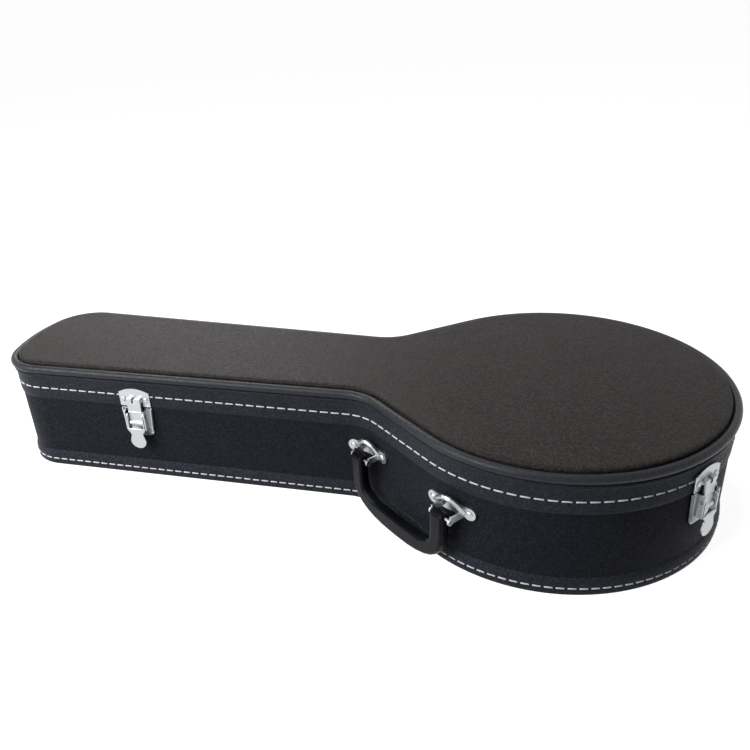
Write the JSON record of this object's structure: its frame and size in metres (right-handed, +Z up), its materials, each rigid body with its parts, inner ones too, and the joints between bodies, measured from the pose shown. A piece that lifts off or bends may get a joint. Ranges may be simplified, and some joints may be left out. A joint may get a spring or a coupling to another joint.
{
  "type": "mandolin case",
  "caption": "Hard case for a round-bodied mandolin: leatherette-covered box with piped edges, hinged lid, draw latches, hanging handle and plush lining.",
  "frame": {"origin": "on the underside, below the centre of the case's round body", "axes": "the case lies on its base: +Z up, +X from the neck towards the round body, -Y towards the handle and latches, +Y towards the hinges"},
  "size_m": [0.7299, 0.3264, 0.1216],
  "materials": {
    "plywood": "matt",
    "side_leatherette": "fine-grained black leatherette",
    "top_leatherette": "grained brown-black leatherette",
    "piping_leatherette": "smooth black leatherette",
    "plush_lining": "short pile",
    "bright_plated_steel": "bright plated",
    "steel_pin": "plain",
    "moulded_handle": "moulded black, satin"
  },
  "bodies": {
    "base": {"base_bottom_covering": "side_leatherette", "base_closing_lip": "plush_lining", "base_floor_board": "plywood", "base_floor_pad": "plush_lining", "base_side_board": "plywood", "base_side_covering": "side_leatherette", "base_side_lining": "plush_lining", "handle_bracket_body": "bright_plated_steel", "handle_bracket_body_rivet_near_body": "bright_plated_steel", "handle_bracket_body_rivet_near_neck": "bright_plated_steel", "handle_bracket_neck": "bright_plated_steel", "handle_bracket_neck_rivet_near_body": "bright_plated_steel", "handle_bracket_neck_rivet_near_neck": "bright_plated_steel", "handle_pin_body": "steel_pin", "handle_pin_neck": "steel_pin", "hinge_1_base_leaf": "bright_plated_steel", "hinge_1_pin": "steel_pin", "hinge_2_base_leaf": "bright_plated_steel", "hinge_2_pin": "steel_pin", "latch_body_base_plate": "bright_plated_steel", "latch_body_pivot_pin_left": "steel_pin", "latch_body_pivot_pin_right": "steel_pin", "latch_body_plate_rivet_lower": "bright_plated_steel", "latch_body_plate_rivet_upper": "bright_plated_steel", "latch_neck_base_plate": "bright_plated_steel", "latch_neck_pivot_pin_left": "steel_pin", "latch_neck_pivot_pin_right": "steel_pin", "latch_neck_plate_rivet_lower": "bright_plated_steel", "latch_neck_plate_rivet_upper": "bright_plated_steel", "neck_rest_body_side": "plush_lining", "neck_rest_head_side": "plush_lining"},
    "lid": {"hinge_1_lid_leaf": "bright_plated_steel", "hinge_2_lid_leaf": "bright_plated_steel", "latch_body_catch_plate": "bright_plated_steel", "latch_body_catch_rivet_left": "bright_plated_steel", "latch_body_catch_rivet_right": "bright_plated_steel", "latch_neck_catch_plate": "bright_plated_steel", "latch_neck_catch_rivet_left": "bright_plated_steel", "latch_neck_catch_rivet_right": "bright_plated_steel", "lid_piping": "piping_leatherette", "lid_side_board": "plywood", "lid_side_covering": "side_leatherette", "lid_side_lining": "plush_lining", "lid_top_board": "plywood", "lid_top_covering": "top_leatherette", "lid_top_pad": "plush_lining"},
    "latch_neck_lever": {"latch_neck_claw_pin": "steel_pin", "latch_neck_lever": "bright_plated_steel"},
    "latch_neck_claw": {"latch_neck_claw": "bright_plated_steel"},
    "latch_body_lever": {"latch_body_claw_pin": "steel_pin", "latch_body_lever": "bright_plated_steel"},
    "latch_body_claw": {"latch_body_claw": "bright_plated_steel"},
    "handle": {"handle_grip": "moulded_handle", "handle_link_body": "bright_plated_steel", "handle_link_neck": "bright_plated_steel"}
  },
  "joints": [
    {"name": "lid_hinge", "type": "hinge", "parent": "base", "child": "lid", "pos_m": [0, 0.16, 0.08145], "axis": [-1, 0, 0], "range_deg": [0, 105]},
    {"name": "latch_neck_lever_pivot", "type": "hinge", "parent": "base", "child": "latch_neck_lever", "pos_m": [-0.40831, -0.07241, 0.07405], "axis": [-0.9996, -0.0291, 0], "range_deg": [0, 120]},
    {"name": "latch_neck_claw_pivot", "type": "hinge", "parent": "latch_neck_lever", "child": "latch_neck_claw", "pos_m": [-0.40834, -0.07151, 0.06605], "axis": [-0.9996, -0.0291, 0], "range_deg": [-120, 0]},
    {"name": "latch_body_lever_pivot", "type": "hinge", "parent": "base", "child": "latch_body_lever", "pos_m": [0.12828, -0.09812, 0.07405], "axis": [-0.6075, -0.7943, 0], "range_deg": [0, 120]},
    {"name": "latch_body_claw_pivot", "type": "hinge", "parent": "latch_body_lever", "child": "latch_body_claw", "pos_m": [0.12756, -0.09757, 0.06605], "axis": [-0.6075, -0.7943, 0], "range_deg": [-120, 0]},
    {"name": "handle_swing", "type": "hinge", "parent": "base", "child": "handle", "pos_m": [-0.17086, -0.07911, 0.0597], "axis": [-0.7871, 0.6169, 0], "range_deg": [0, 120]}
  ],
  "couplings": [
    {"joint": "latch_neck_claw_pivot", "follows": "latch_neck_lever_pivot", "ratio": -1},
    {"joint": "latch_body_claw_pivot", "follows": "latch_body_lever_pivot", "ratio": -1}
  ]
}
